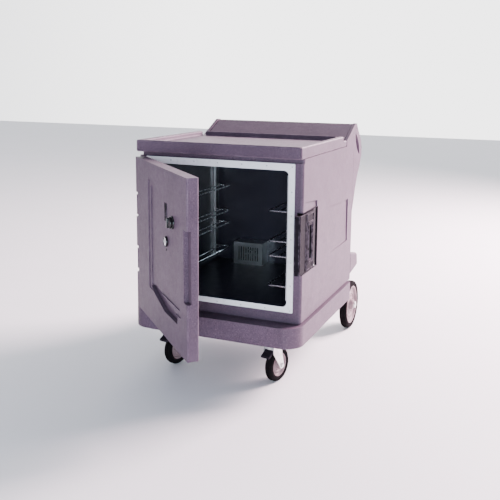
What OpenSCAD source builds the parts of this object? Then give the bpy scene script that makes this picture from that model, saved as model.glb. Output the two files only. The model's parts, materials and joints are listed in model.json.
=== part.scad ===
// Low insulated food carrier on wheels: moulded double-wall cabinet with a
// full-height door, pan ledges, convection heater and a rear push console.
// Millimetres. X runs across, Y from front to back, Z up from the floor.

/* [Cabinet] */
// Width over the side walls
body_w = 776; // [766:2:784]
// Front face to rear wall
body_d = 784; // [780:1:790]
// Height of the work tray's rim above the floor
tray_z = 1050; // [1046:1:1060]
// Width of the food opening
opening_w = 646; // [636:2:650]
// Lower edge of the food opening
opening_z0 = 365; // [360:1:370]
// Upper edge of the food opening
opening_z1 = 948; // [940:1:950]
// Depth of the food compartment
cavity_d = 690; // [680:1:692]

/* [Base] */
// Width over the base bumper
bumper_w = 800; // [796:2:812]
// How far the base bumper stands out in front
bumper_out = 71; // [66:1:76]
// Underside of the base bumper
bumper_z0 = 204; // [200:1:208]
// Top of the base bumper
bumper_z1 = 292; // [288:1:292]

/* [Door] */
// Angle the door stands open at
door_open = 45; // [30:5:60]
// Distance from the hinge axis to the door's free edge
door_l = 745; // [738:1:746]
// Thickness of the door
door_t = 46; // [44:1:48]
// Lower edge of the door
door_z0 = 298; // [297:1:floor_z]
// Upper edge of the door
door_z1 = 977; // [970:1:979]

/* [Latch] */
// Height of the latch lever
lever_h = 250; // [240:2:252]

/* [Wheels] */
// Diameter of the front castor wheels
caster_dia = 152; // [148:1:152]
// Diameter of the rear wheels
rear_dia = 254; // [240:2:256]
// Distance of the front swivels from the middle
caster_x = 250; // [240:1:260]
// Angle the front castors are swivelled to
caster_turn = 12; // [0:1:30]
// Distance of the rear wheels' middle planes from the middle
rear_x = 357; // [356:1:358]

/* [Racks] */
// Height of the lowest pan ledge
ledge_z0 = 445; // [440:1:450]
// Step between ledge places
ledge_pitch = 65; // [60:1:65]

/* [Hidden] */
$fn = 48;
eps = 0.5;

// colours
plastic = [0.50, 0.46, 0.52];
dark_plastic = [0.20, 0.20, 0.23];
steel = [0.74, 0.74, 0.75];
white = [0.93, 0.93, 0.92];
black = [0.08, 0.08, 0.09];
foam = [0.93, 0.89, 0.72];
tyre = [0.24, 0.24, 0.25];
disc = [0.83, 0.79, 0.78];

// half sizes and levels
hw = body_w / 2;
ow = opening_w / 2;
skin = 18;
front_skin = 14;
corner_r = 12;
back_r = 2;
plinth_in = 8;
plinth_z1 = 300;
floor_z = plinth_z1 + 4;
neck_in = 10;
body_z1 = 980;
cap_z0 = 998;
liner_t = 3;
liner_r = 20;

// tray
cap_side = hw;
cap_front = -30;
tray_back = 652;
rim_t = 26;
deck_z = tray_z - 22;
rim_end = 590;
rear_rim_t = 13;
rear_rim_x = cap_side - rim_t - 12;

// console behind the tray
cheek_t = 14;
console_z = 1100;
hood_half = hw - cheek_t;
cheek_side = [[tray_back, body_z1], [tray_back, deck_z], [801, console_z + 1], [828, console_z + 1],
    [858, 1070], [918, 1014], [941, 968], [938, 928], [911, 882], [871, 838],
    [832, 770], [813, 722], [body_d, 661], [body_d, body_z1]];
hood_side = [[tray_back, cap_z0], [tray_back, deck_z], [801, console_z - 2], [812, 1062], [820, 1022],
    [834, 989], [866, 938], [871, 900], [869, 838], [830, 770], [811, 722], [body_d, 665],
    [body_d, cap_z0]];
rail_side = [[812, 1062], [801, console_z - 2], [828, console_z - 2], [857, 1067], [916, 1011],
    [939, 966], [936, 934], [921, 930], [911, 953], [880, 1003], [852, 1034]];
lens_mid = [851, 995];
lens_len = 145;
lens_w = 42;
lens_r = (pow(lens_len / 2, 2) + pow(lens_w / 2, 2)) / lens_w;
lens_turn = -51.7;

// bumpers
bumper_back = 768;
bumper_front_r = 80;
bumper_back_r = 24;
pan_z0 = 186;
rear_block = [[body_d, 440], [925, 409], [938, 340], [body_d, 318]];

// trim
trim_out_x = 351;
trim_out_z0 = 341;
trim_out_z1 = 978;
trim_t = 3;

// hinge and door
hinge_x = -361;
hinge_y = -32;
door_half_t = door_t / 2;
door_front = hinge_y - door_half_t;
door_inner = hinge_y + door_half_t;
door_edge = hinge_x + door_l;
door_edge_r = 6;
pin_r = 8;
bush_r = 12;
run_gap = 0.05;
knuckle_r = 21;
knuckle_z = [[719, 808], [472, 563]];
notch_z = [[708, 821], [453, 578]];
notch_x = hinge_x + 27;
door_wall = 12;
panel_x0 = hinge_x + 210;
panel_x1 = hinge_x + 672;
panel_z0 = 440;
panel_z1 = 907;
panel_step = 4;
panel_in_x = 30;
panel_in_z = 22;
groove_x0 = hinge_x + 233;
groove_x1 = hinge_x + 627;
groove_depth = 20;
strike_w = 40;
strike_depth = 18;
strike_z0 = 514;
strike_z1 = 785;
corner_cut = 30;
foam_y0 = door_front + 11;
foam_y1 = door_inner - 5;
gauge_x = hinge_x + 458;
gauge_z = 690;
knob_x = hinge_x + 538;
knob_z = 780;
slot_x = hinge_x + 450;
slot_z = 805;
panel_face = door_front + 2 * panel_step;

// latch
pocket_x = 362;
pocket_y = 205;
pocket_z0 = 508;
pocket_z1 = 776;
pocket_t = 3;
lever_z0 = 520;
lever_x = hw + 8;
latch_pin_at = [376, 180];
latch_pin_r = 4;

// castors
cr = caster_dia / 2;
caster_y = 33;
trail = 38;
plate_t = 5;
race_z = 175;
crown_z0 = 163;
king_r = 8;
leg_in = 23;
leg_t = 4;
leg_top = race_z - 0.3;
axle_r = 6;
brake_at = [-20, 156];
bolt_x = 40;
bolt_y = 34;

// rear wheels
rr = rear_dia / 2;
rear_y = 900;
rear_disc_r = 100;
rear_axle_r = 10;
bracket_x = 316;
bracket_t = 8;

// heater and fan
fan_at = [-110, 650, 422];
box_x0 = -190;
box_x1 = -30;
box_y0 = 600;
box_z1 = 480;

// rear controls
panel_y = body_d;
plate_x0 = 150;
plate_x1 = 340;
rear_z0 = 470;
rear_z1 = 640;

// the frame's origin lies under the middle of the whole carrier
door_tip = hinge_y - (door_l - door_edge_r) * sin(door_open)
    - (door_half_t - door_edge_r) * cos(door_open) - door_edge_r;
mid_y = (door_tip + rear_y + rr) / 2;

// ---- helpers ----
module place() { translate([0, -mid_y, 0]) children(); }
module rrect(x0, y0, x1, y1, r) {
    translate([x0 + r, y0]) square([x1 - x0 - 2 * r, y1 - y0]);
    translate([x0, y0 + r]) square([x1 - x0, y1 - y0 - 2 * r]);
    for (x = [x0 + r, x1 - r], y = [y0 + r, y1 - r]) translate([x, y]) circle(r);
}
module plan(x, y0, y1, rf, rb) {
    translate([-x + rf, y0]) square([2 * (x - rf), y1 - y0 - rb]);
    translate([-x, y0 + rf]) square([2 * x, y1 - y0 - rf - rb]);
    translate([-x + rb, y1 - 2 * rb]) square([2 * (x - rb), 2 * rb]);
    for (s = [-1, 1]) {
        translate([s * (x - rf), y0 + rf]) circle(rf, $fn = 96);
        translate([s * (x - rb), y1 - rb]) circle(rb);
    }
}
module block(lo, hi) { translate(lo) cube(hi - lo); }
module upright(z0, z1) { translate([0, 0, z0]) linear_extrude(z1 - z0) children(); }
module frontal(y0, y1) { translate([0, y1, 0]) rotate([90, 0, 0]) linear_extrude(y1 - y0) children(); }
module lateral(x0, x1) { translate([x0, 0, 0]) rotate([90, 0, 90]) linear_extrude(x1 - x0) children(); }
module rod_x(x0, x1, r) { translate([x0, 0, 0]) rotate([0, 90, 0]) cylinder(h = x1 - x0, r = r); }
module rod_y(y0, y1, r) { translate([0, y1, 0]) rotate([90, 0, 0]) cylinder(h = y1 - y0, r = r); }
module sides_mirrored() { children(); mirror([1, 0, 0]) children(); }
module on_door() {
    translate([hinge_x, hinge_y, 0]) rotate([0, 0, -door_open])
        translate([-hinge_x, -hinge_y, 0]) children();
}

// ---- cabinet ----
module lens() {
    off = lens_r - lens_w / 2;
    translate(lens_mid) rotate(lens_turn) intersection() {
        translate([0, off]) circle(lens_r, $fn = 96);
        translate([0, -off]) circle(lens_r, $fn = 96);
    }
}
module latch_pocket() {
    block([pocket_x, -1, pocket_z0], [hw + 1, pocket_y, pocket_z1]);
}
module cabinet_shell() {
    color(plastic) place() difference() {
        union() {
            upright(bumper_z1, plinth_z1) plan(hw - plinth_in, plinth_in, body_d, corner_r, back_r);
            upright(plinth_z1, body_z1) plan(hw, 0, body_d, corner_r, back_r);
            for (x = [0, neck_in]) translate([x, 0, 0]) upright(body_z1, cap_z0)
                plan(hw - neck_in, neck_in, body_d, corner_r, back_r);
            sides_mirrored() lateral(hood_half, hw) difference() {
                polygon(cheek_side);
                lens();
            }
        }
        block([-hw + skin, front_skin, floor_z], [hw - skin, body_d - skin, cap_z0 + 1]);
        frontal(-1, front_skin + 1) rrect(-ow - liner_t, opening_z0 - liner_t,
            ow + liner_t, opening_z1 + liner_t, liner_r + liner_t);
        latch_pocket();
    }
}
module top_tray() {
    color(plastic) place() difference() {
        upright(cap_z0, tray_z) rrect(-cap_side, cap_front, cap_side, tray_back, corner_r);
        block([-cap_side + rim_t, cap_front + rim_t, deck_z], [cap_side - rim_t, rim_end, tray_z + 1]);
        block([-cap_side - 1, rim_end + rear_rim_t, deck_z], [cap_side + 1, tray_back + 1, tray_z + 1]);
        sides_mirrored()
            block([rear_rim_x, rim_end, deck_z], [cap_side + 1, tray_back + 1, tray_z + 1]);
    }
}
module console_hood() {
    color(plastic) place() lateral(-hood_half, hood_half) polygon(hood_side);
}
module push_rail() {
    color(plastic) place() lateral(-hood_half, hood_half) polygon(rail_side);
}
module rear_bumper() {
    color(plastic) place() lateral(-hw, hw) polygon(rear_block);
}
module bolt_places() {
    for (s = [-1, 1], x = [-bolt_x, bolt_x], y = [-bolt_y, bolt_y])
        translate([s * caster_x + x, caster_y + y, 0]) children();
}
module base_bumper() {
    color(plastic) place() difference() {
        union() {
            upright(bumper_z0, bumper_z1)
                plan(bumper_w / 2, -bumper_out, bumper_back, bumper_front_r, bumper_back_r);
            upright(pan_z0, bumper_z0) rrect(-345, -30, 345, 170, 30);
        }
        bolt_places() translate([0, 0, pan_z0 - 1]) cylinder(h = 31, r = 4);
    }
}
module cabinet_liner() {
    color(steel) place() difference() {
        frontal(0, cavity_d + liner_t) rrect(-ow - liner_t, opening_z0 - liner_t,
            ow + liner_t, opening_z1 + liner_t, liner_r + liner_t);
        frontal(-1, cavity_d) rrect(-ow, opening_z0, ow, opening_z1, liner_r);
        translate([fan_at[0], 0, fan_at[2]]) rod_y(cavity_d - 1, cavity_d + 10, 7);
    }
}
module foam_core() {
    x1 = hw - skin;
    x0 = ow + liner_t;
    y0 = front_skin;
    y1 = body_d - skin;
    z0 = opening_z0 - liner_t;
    z1 = opening_z1 + liner_t;
    yb = cavity_d + liner_t;
    color(foam) place() difference() {
        union() {
            block([-x1, y0, z0 + eps], [-x0, yb - eps, z1 - eps]);
            block([x0, y0, z0 + eps], [x1, yb - eps, z1 - eps]);
            block([-x1, y0, floor_z], [x1, yb - eps, z0]);
            block([-x1, y0, z1], [x1, yb - eps, cap_z0]);
            block([-x1, yb, floor_z], [x1, y1, cap_z0]);
        }
        block([pocket_x, -1, pocket_z0], [hw, pocket_y, pocket_z1]);
        translate([fan_at[0], 0, fan_at[2]]) rod_y(yb - 1, y1 - 12, 36);
    }
}
module opening_trim() {
    mitre = 0.4;
    color(white) place() frontal(-trim_t, 0) difference() {
        rrect(-trim_out_x, trim_out_z0, trim_out_x, trim_out_z1, 5);
        rrect(-ow, opening_z0, ow, opening_z1, liner_r);
        for (sx = [-1, 1], e = [[trim_out_z0, 45], [trim_out_z1, -45]])
            translate([sx * trim_out_x, e[0]]) rotate(sx * -e[1])
                translate([-60, -mitre / 2]) square([120, mitre]);
    }
}
module trim_screws() {
    xs = [-339, -226, -113, 0, 113, 226, 339];
    zs = [460, 560, 660, 760, 860];
    color(steel) place() {
        for (x = xs, z = [350, 965]) translate([x, 0, z]) rod_y(-trim_t - 1.2, -trim_t, 3.2);
        for (x = [-339, 339], z = zs) translate([x, 0, z]) rod_y(-trim_t - 1.2, -trim_t, 3.2);
    }
}
module hinge_knuckles() {
    color(plastic) place() for (k = knuckle_z) difference() {
        upright(k[0], k[1]) {
            translate([hinge_x, hinge_y]) circle(knuckle_r);
            translate([hinge_x - knuckle_r, hinge_y])
                square([-trim_out_x - 1 - hinge_x + knuckle_r, -hinge_y]);
        }
        translate([hinge_x, hinge_y, k[0] - 1]) cylinder(h = k[1] - k[0] + 2, r = pin_r);
    }
}
module hinge_rod() {
    color(steel) place() translate([hinge_x, hinge_y, 335]) cylinder(h = 610, r = pin_r);
}

// ---- racks ----
ledge_levels = [0, 2, 3, 5];
post_x = 310;
post_t = 12;
post_y = [20, 628];
wire_r = 3.2;
ledge_in = 225;
ledge_mid = 272;
module ledge(z) {
    for (y = post_y) translate([0, y + post_t / 2, z]) {
        rod_x(ledge_in, post_x, wire_r);
        translate([ledge_in, 0, 0]) sphere(wire_r);
    }
    for (x = [ledge_in, ledge_mid]) translate([x, 0, z])
        rod_y(post_y[0] + post_t / 2, post_y[1] + post_t / 2, wire_r);
}
module pan_ledges() {
    for (n = ledge_levels) ledge(ledge_z0 + n * ledge_pitch);
}
module pan_ledges_left() { color(steel) place() mirror([1, 0, 0]) pan_ledges(); }
module pan_ledges_right() { color(steel) place() pan_ledges(); }
module rack_posts() {
    color(steel) place() sides_mirrored() for (y = post_y)
        block([post_x, y, opening_z0 + 22], [ow - 1, y + post_t, opening_z1 - 22]);
}

// ---- heater and fan ----
module fan_cover() {
    t = 2;
    color(steel) place() difference() {
        block([box_x0, box_y0, opening_z0], [box_x1, cavity_d, box_z1]);
        block([box_x0 + t, box_y0 + t, opening_z0 - 1], [box_x1 - t, cavity_d + 1, box_z1 - t]);
        for (n = [-4:4]) translate([fan_at[0] + n * 13, box_y0 - 1, fan_at[2] - 36]) cube([5, 4, 72]);
    }
}
module heater_element() {
    ring_r = 48;
    color([0.35, 0.30, 0.28]) place() translate([fan_at[0], fan_at[1] - 6, fan_at[2]])
        for (y = [0, 14]) translate([0, y, 0]) rotate([90, 0, 0])
            rotate_extrude() translate([ring_r, 0]) circle(3.5);
}
module fan_motor() {
    color(black) place() translate([fan_at[0], 0, fan_at[2]]) {
        rod_y(cavity_d + liner_t, 752, 34);
        rod_y(fan_at[1] - 16, cavity_d + liner_t, 4);
    }
}
module fan_blade() {
    color(steel) place() translate(fan_at) difference() {
        union() {
            rod_y(-10, 10, 12);
            for (n = [0:5]) rotate([0, n * 60, 0]) translate([0, 0, 9]) rotate([0, 0, 35])
                translate([-1, -8, 0]) cube([2, 16, 28]);
        }
        rod_y(-11, 11, 4 + run_gap);
    }
}

// ---- rear controls ----
module service_panel() {
    color(steel) place() difference() {
        frontal(panel_y, panel_y + 2) rrect(-330, rear_z0, 120, rear_z1, 6);
        for (n = [0:6]) frontal(panel_y - 1, panel_y + 3) translate([-160, rear_z0 + 40 + n * 15])
            square([110, 5]);
    }
}
module panel_screws() {
    pts = [for (x = [-318, -105, 108], z = [rear_z0 + 12, rear_z1 - 12]) [x, z, 2]];
    more = [for (x = [plate_x0 + 10, plate_x1 - 10], z = [rear_z0 + 10, rear_z1 - 10]) [x, z, 3]];
    color(steel) place() for (p = concat(pts, more)) translate([p[0], 0, p[1]])
        rod_y(panel_y + p[2], panel_y + p[2] + 2.5, 4.5);
}
inlet_x = 245;
inlet_z = 512;
knob_r = 20;
rear_knob = [195, 592];
switch_at = [293, 592];
rocker_axis = 1.5;
rocker_pin_r = 1.2;
module control_plate() {
    color(dark_plastic) place() difference() {
        frontal(panel_y, panel_y + 3) rrect(plate_x0, rear_z0, plate_x1, rear_z1, 6);
        translate([rear_knob[0], 0, rear_knob[1]]) rod_y(panel_y - 1, panel_y + 4, 4 + run_gap);
        block([switch_at[0] - 10.5, panel_y - 1, switch_at[1] - 15.5],
            [switch_at[0] + 10.5, panel_y + 4, switch_at[1] + 15.5]);
        translate([switch_at[0], panel_y + rocker_axis, switch_at[1]])
            rod_x(-12.5, 12.5, rocker_pin_r + run_gap);
    }
}
module pilot_lamp() {
    color([0.85, 0.25, 0.12]) place() translate([245, 0, 612]) rod_y(panel_y + 3, panel_y + 8, 6);
}
module power_inlet() {
    color(black) place() difference() {
        frontal(panel_y + 3, panel_y + 24)
            rrect(inlet_x - 25, inlet_z - 20, inlet_x + 25, inlet_z + 20, 5);
        frontal(panel_y + 8, panel_y + 25)
            rrect(inlet_x - 17, inlet_z - 12, inlet_x + 17, inlet_z + 12, 3);
    }
}
module power_switch() {
    color(black) place() translate([switch_at[0], panel_y, switch_at[1]]) {
        translate([-9.5, 2.5, -14]) cube([19, 6, 28]);
        translate([-9.5, rocker_axis, -2]) cube([19, 2, 4]);
        translate([0, rocker_axis, 0]) rod_x(-12, 12, rocker_pin_r);
    }
}
module thermostat_knob() {
    color(black) place() translate([rear_knob[0], 0, rear_knob[1]]) difference() {
        union() {
            rod_y(panel_y + 0.5, panel_y + 3.5, 4);
            rod_y(panel_y + 3.5, panel_y + 20, knob_r);
        }
        translate([-1.5, panel_y + 18.5, 4]) cube([3, 4, 20]);
    }
}

// ---- latch ----
module latch_housing() {
    t = pocket_t;
    color(dark_plastic) place() difference() {
        block([pocket_x, 0, pocket_z0], [hw, pocket_y, pocket_z1]);
        block([pocket_x + t, -1, pocket_z0 + t], [hw + 1, pocket_y - t, pocket_z1 - t]);
        translate([latch_pin_at[0], latch_pin_at[1], pocket_z0 - 1])
            cylinder(h = pocket_z1 - pocket_z0 + 2, r = latch_pin_r);
    }
}
module latch_pin() {
    color(steel) place() translate([latch_pin_at[0], latch_pin_at[1], pocket_z0])
        cylinder(h = pocket_z1 - pocket_z0, r = latch_pin_r);
}
module latch_spring() {
    color(steel) place() for (n = [0:2])
        translate([latch_pin_at[0], latch_pin_at[1], pocket_z0 + pocket_t + 1 + n * 2.4])
            rotate_extrude() translate([6.4, 0]) circle(1, $fn = 16);
}
module latch_lever() {
    z1 = lever_z0 + lever_h;
    x0 = door_edge + 3;
    hook_y0 = door_front + 1;
    hook_y1 = door_front + strike_depth - 1.5;
    px = latch_pin_at[0];
    py = latch_pin_at[1];
    color(dark_plastic) place() difference() {
        union() {
            upright(lever_z0, z1) polygon([[door_edge - 15, hook_y1], [door_edge - 15, hook_y0 + 4],
                [door_edge - 11, hook_y0], [lever_x - 5, hook_y0], [lever_x, hook_y0 + 5], [lever_x, 118],
                [px + 8, py], [px, py + 8], [px - 7, py], [px, py - 12], [x0 - 6, 60], [x0, 40],
                [x0, hook_y1]]);
            upright(lever_z0, z1) translate([px, py]) circle(8.5);
            for (y = [52, 104]) block([lever_x, y, 548], [lever_x + 3, y + 8, 731]);
            for (z = [548, 723]) block([lever_x, 52, z], [lever_x + 3, 112, z + 8]);
        }
        translate([px, py, lever_z0 - 1]) cylinder(h = lever_h + 2, r = latch_pin_r + run_gap);
        block([px, 66, 566], [lever_x + 5, 98, 713]);
    }
}

// ---- door, drawn closed and swung on its hinge ----
module door_plan() {
    translate([hinge_x, hinge_y]) circle(door_half_t);
    translate([hinge_x, door_front]) square([door_l / 2, door_t]);
    rrect(hinge_x + 20, door_front, door_edge, door_inner, door_edge_r);
}
module door_cavity() {
    difference() {
        block([hinge_x + 40, foam_y0, door_z0 + door_wall],
            [door_edge - door_wall, door_inner, door_z1 - door_wall]);
        block([door_edge - strike_w - 6, door_front, strike_z0 - 6],
            [door_edge, door_front + strike_depth + 6, strike_z1 + 6]);
        block([groove_x0 - 6, door_front, 396], [groove_x1 + 6, door_front + groove_depth + 6, 476]);
    }
}
module grip_groove() {
    frontal(door_front - 1, door_front + groove_depth)
        polygon([[groove_x0, 456], [groove_x0 + 68, 470], [groove_x1, 437], [groove_x1 - 4, 405],
            [groove_x1 - 181, 402], [groove_x0 + 8, 448]]);
}
module door_shell() {
    color(plastic) place() on_door() difference() {
        upright(door_z0, door_z1) door_plan();
        door_cavity();
        for (n = notch_z) block([hinge_x - 40, door_front - 1, n[0]], [notch_x, door_inner + 1, n[1]]);
        translate([hinge_x, hinge_y, 325]) cylinder(h = 628, r = bush_r);
        block([door_edge - strike_w, door_front - 1, strike_z0],
            [door_edge + 1, door_front + strike_depth, strike_z1]);
        frontal(door_front - 1, door_front + panel_step)
            rrect(panel_x0, panel_z0, panel_x1, panel_z1, 14);
        frontal(door_front - 1, panel_face)
            rrect(panel_x0 + panel_in_x, panel_z0 + panel_in_z, panel_x1 - panel_in_x, panel_z1 - panel_in_z,
                10);
        grip_groove();
        translate([hinge_x - door_half_t, 0, door_z1]) rotate([0, 45, 0])
            cube([corner_cut, 3 * door_t, corner_cut], center = true);
        translate([knob_x, 0, knob_z]) rod_y(panel_face - 1, foam_y0 + 1, 5);
    }
}
module door_foam() {
    color(foam) place() on_door() intersection() {
        door_cavity();
        block([hinge_x, door_front, door_z0], [door_edge, foam_y1, door_z1]);
    }
}
module door_liner() {
    color(white) place() on_door() intersection() {
        door_cavity();
        block([hinge_x, foam_y1, door_z0], [door_edge, door_inner, door_z1]);
    }
}
module door_gasket() {
    color(black) place() on_door() frontal(door_inner, -trim_t - 0.5) difference() {
        rrect(-ow - 10, opening_z0 - 10, ow + 10, opening_z1 + 10, liner_r + 10);
        rrect(-ow - 3, opening_z0 - 3, ow + 3, opening_z1 + 3, liner_r + 3);
    }
}
module door_bushes() {
    spans = [[821, 851], [915, 945], [578, 608], [678, 708], [423, 453], [335, 365]];
    color(white) place() on_door() for (s = spans) translate([hinge_x, hinge_y, 0]) difference() {
        union() {
            upright(s[0], s[1]) circle(bush_r);
            for (k = knuckle_z) if (s[0] - k[1] > 0 && s[0] - k[1] < 20)
                upright(k[1] + 0.4, s[0]) circle(17);
        }
        upright(s[0] - 20, s[1] + 1) circle(pin_r + run_gap);
    }
}
module door_slot_insert() {
    color(black) place() on_door() frontal(panel_face - 2, panel_face) difference() {
        rrect(slot_x - 16, slot_z - 36, slot_x + 16, slot_z + 36, 5);
        rrect(slot_x - 10, slot_z - 30, slot_x + 10, slot_z + 30, 4);
    }
}
module door_thermometer() {
    color(steel) place() on_door() translate([gauge_x, 0, gauge_z]) {
        rod_y(panel_face - 9, panel_face, 21);
        translate([0, 0, -33]) rod_y(panel_face - 3, panel_face, 4.5);
    }
}
module vent_base() {
    color(black) place() on_door() translate([knob_x, 0, knob_z]) {
        rod_y(panel_face - 6, panel_face, 26);
        rod_y(panel_face - 20, foam_y0, 5);
    }
}
module vent_knob() {
    color(black) place() on_door() translate([knob_x, 0, knob_z]) difference() {
        union() {
            rod_y(panel_face - 18, panel_face - 6.4, 22);
            translate([-5, panel_face - 24, -20]) cube([10, 12, 40]);
        }
        rod_y(panel_face - 20.4, panel_face, 5 + run_gap);
    }
}

// ---- front castors ----
module at_caster(s) {
    translate([s * caster_x, caster_y, 0]) rotate([0, 0, -caster_turn]) children();
}
module caster_plates() {
    color(steel) place() for (s = [-1, 1]) translate([s * caster_x, caster_y, 0]) difference() {
        union() {
            upright(pan_z0 - plate_t, pan_z0) rrect(-55, -48, 55, 48, 8);
            upright(race_z, pan_z0 - plate_t) circle(30);
            upright(157, race_z) circle(king_r);
            upright(157, crown_z0 - 0.5) circle(12, $fn = 6);
        }
        for (x = [-bolt_x, bolt_x], y = [-bolt_y, bolt_y])
            translate([x, y, pan_z0 - plate_t - 1]) cylinder(h = plate_t + 2, r = 4);
    }
}
module caster_bolts() {
    color(steel) place() bolt_places() {
        upright(pan_z0 - plate_t - 5.5, pan_z0 - plate_t) circle(7.5, $fn = 6);
        upright(pan_z0 - plate_t, pan_z0 + 26) circle(4);
    }
}
module caster_fork(s) {
    color(steel) place() at_caster(s) difference() {
        union() {
            upright(crown_z0, leg_top) circle(32);
            for (x = [-leg_in - leg_t, leg_in]) lateral(x, x + leg_t) {
                polygon([[-30, leg_top], [30, leg_top], [52, 84], [38, 62], [24, 70], [-30, 146]]);
                translate([trail, cr]) circle(15);
            }
            upright(crown_z0, leg_top) translate([-leg_in - leg_t, -30])
                square([2 * (leg_in + leg_t), 60]);
        }
        translate([0, 0, 150]) cylinder(h = 40, r = king_r + run_gap);
        translate([0, trail, cr]) rod_x(-40, 40, axle_r);
        translate([0, brake_at[0], brake_at[1]]) rod_x(-40, 40, 3);
    }
}
module caster_axle(s) {
    color(steel) place() at_caster(s) {
        translate([0, trail, cr]) {
            rod_x(-leg_in - leg_t, leg_in + leg_t, axle_r);
            for (x = [-leg_in - leg_t - 6, leg_in + leg_t]) rod_x(x, x + 6, 10, $fn = 6);
        }
        translate([0, brake_at[0], brake_at[1]]) rod_x(-leg_in - leg_t, leg_in + leg_t, 3);
    }
}
module caster_hub(s) {
    color(disc) place() at_caster(s) translate([0, trail, cr]) rotate([0, 90, 0]) rotate_extrude() {
        translate([axle_r + run_gap, -22]) square([11, 44]);
        translate([12, -5]) square([38, 10]);
        translate([46, -15]) square([6, 30]);
    }
}
module caster_tyre(s) {
    color(tyre) place() at_caster(s) translate([0, trail, cr]) rotate([0, 90, 0]) rotate_extrude($fn = 96)
        rrect(52, -18, cr, 18, 8);
}
module brake_pedal(s) {
    color(black) place() at_caster(s) difference() {
        lateral(-21, 21) {
            polygon([[-20, 162], [-20, 150], [-44, 134], [-58, 131], [-60, 139], [-46, 146]]);
            translate(brake_at) circle(6);
        }
        translate([0, brake_at[0], brake_at[1]]) rod_x(-40, 40, 3 + run_gap);
    }
}
module caster_fork_left() { caster_fork(-1); }
module caster_fork_right() { caster_fork(1); }
module caster_axle_left() { caster_axle(-1); }
module caster_axle_right() { caster_axle(1); }
module caster_hub_left() { caster_hub(-1); }
module caster_hub_right() { caster_hub(1); }
module caster_tyre_left() { caster_tyre(-1); }
module caster_tyre_right() { caster_tyre(1); }
module brake_pedal_left() { brake_pedal(-1); }
module brake_pedal_right() { brake_pedal(1); }

// ---- rear wheels ----
module axle_brackets() {
    top = 318 + (930 - body_d) * (340 - 318) / (938 - body_d);
    color(steel) place() sides_mirrored() lateral(bracket_x, bracket_x + bracket_t) difference() {
        union() {
            polygon([[700, 190], [700, bumper_z0], [bumper_back, bumper_z0], [bumper_back, bumper_z1],
                [body_d, bumper_z1], [body_d, 318], [930, top], [934, rr], [rear_y, rr - 34], [868, 104]]);
            translate([rear_y, rr]) circle(34);
        }
        translate([rear_y, rr]) circle(rear_axle_r);
    }
}
module rear_axle() {
    color(steel) place() translate([0, rear_y, rr]) rod_x(-388, 388, rear_axle_r);
}
module axle_caps() {
    color(steel) place() translate([0, rear_y, rr]) sides_mirrored() {
        difference() {
            rod_x(rear_x + 25.5, 394, 17);
            rod_x(rear_x, 388, rear_axle_r);
        }
        difference() {
            rod_x(bracket_x + bracket_t, rear_x - 25.5, 16);
            rod_x(bracket_x, rear_x, rear_axle_r);
        }
    }
}
module rear_hub(s) {
    color(disc) place() translate([s * rear_x, rear_y, rr]) rotate([0, 90, 0]) rotate_extrude($fn = 96) {
        translate([rear_axle_r + run_gap, -25]) square([17, 50]);
        translate([24, -6]) square([70, 12]);
        translate([60, -9]) square([6, 18]);
        translate([90, -17]) square([10, 34]);
    }
}
module rear_tyre(s) {
    color(tyre) place() translate([s * rear_x, rear_y, rr]) rotate([0, 90, 0]) rotate_extrude($fn = 96)
        rrect(rear_disc_r, -20, rr, 20, 9);
}
module rear_hub_left() { rear_hub(-1); }
module rear_hub_right() { rear_hub(1); }
module rear_tyre_left() { rear_tyre(-1); }
module rear_tyre_right() { rear_tyre(1); }

cabinet_shell();
top_tray();
console_hood();
push_rail();
rear_bumper();
base_bumper();
cabinet_liner();
foam_core();
opening_trim();
trim_screws();
hinge_knuckles();
hinge_rod();
pan_ledges_left();
pan_ledges_right();
rack_posts();
fan_cover();
heater_element();
fan_motor();
fan_blade();
service_panel();
panel_screws();
control_plate();
pilot_lamp();
power_inlet();
power_switch();
thermostat_knob();
latch_housing();
latch_pin();
latch_spring();
latch_lever();
door_shell();
door_foam();
door_liner();
door_gasket();
door_bushes();
door_slot_insert();
door_thermometer();
vent_base();
vent_knob();
caster_plates();
caster_bolts();
caster_fork_left();
caster_fork_right();
caster_axle_left();
caster_axle_right();
caster_hub_left();
caster_hub_right();
caster_tyre_left();
caster_tyre_right();
brake_pedal_left();
brake_pedal_right();
axle_brackets();
rear_axle();
axle_caps();
rear_hub_left();
rear_hub_right();
rear_tyre_left();
rear_tyre_right();
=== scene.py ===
"""Looks of a low insulated food carrier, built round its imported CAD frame. Metres, Z up, door towards -Y."""
import json
import math

import bmesh
import bpy
from mathutils import Matrix, Vector


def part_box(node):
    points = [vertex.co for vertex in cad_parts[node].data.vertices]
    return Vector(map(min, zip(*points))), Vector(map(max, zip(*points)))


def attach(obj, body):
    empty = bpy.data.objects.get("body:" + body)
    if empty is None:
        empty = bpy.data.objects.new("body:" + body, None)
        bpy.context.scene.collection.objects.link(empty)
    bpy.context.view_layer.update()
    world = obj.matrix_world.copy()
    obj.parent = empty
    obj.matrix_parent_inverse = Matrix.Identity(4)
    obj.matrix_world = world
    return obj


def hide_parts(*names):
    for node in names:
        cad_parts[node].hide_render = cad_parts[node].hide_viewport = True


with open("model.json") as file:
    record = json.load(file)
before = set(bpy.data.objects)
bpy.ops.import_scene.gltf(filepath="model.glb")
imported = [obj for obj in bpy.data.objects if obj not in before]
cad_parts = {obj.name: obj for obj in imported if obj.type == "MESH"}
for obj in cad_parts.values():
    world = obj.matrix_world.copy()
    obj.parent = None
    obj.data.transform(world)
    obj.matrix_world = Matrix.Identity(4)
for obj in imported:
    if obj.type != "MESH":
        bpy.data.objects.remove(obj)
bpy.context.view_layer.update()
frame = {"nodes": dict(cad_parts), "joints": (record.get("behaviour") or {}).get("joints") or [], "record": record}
joints = {joint["name"]: joint for joint in frame["joints"]}


# ---------- finishes ----------

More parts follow.
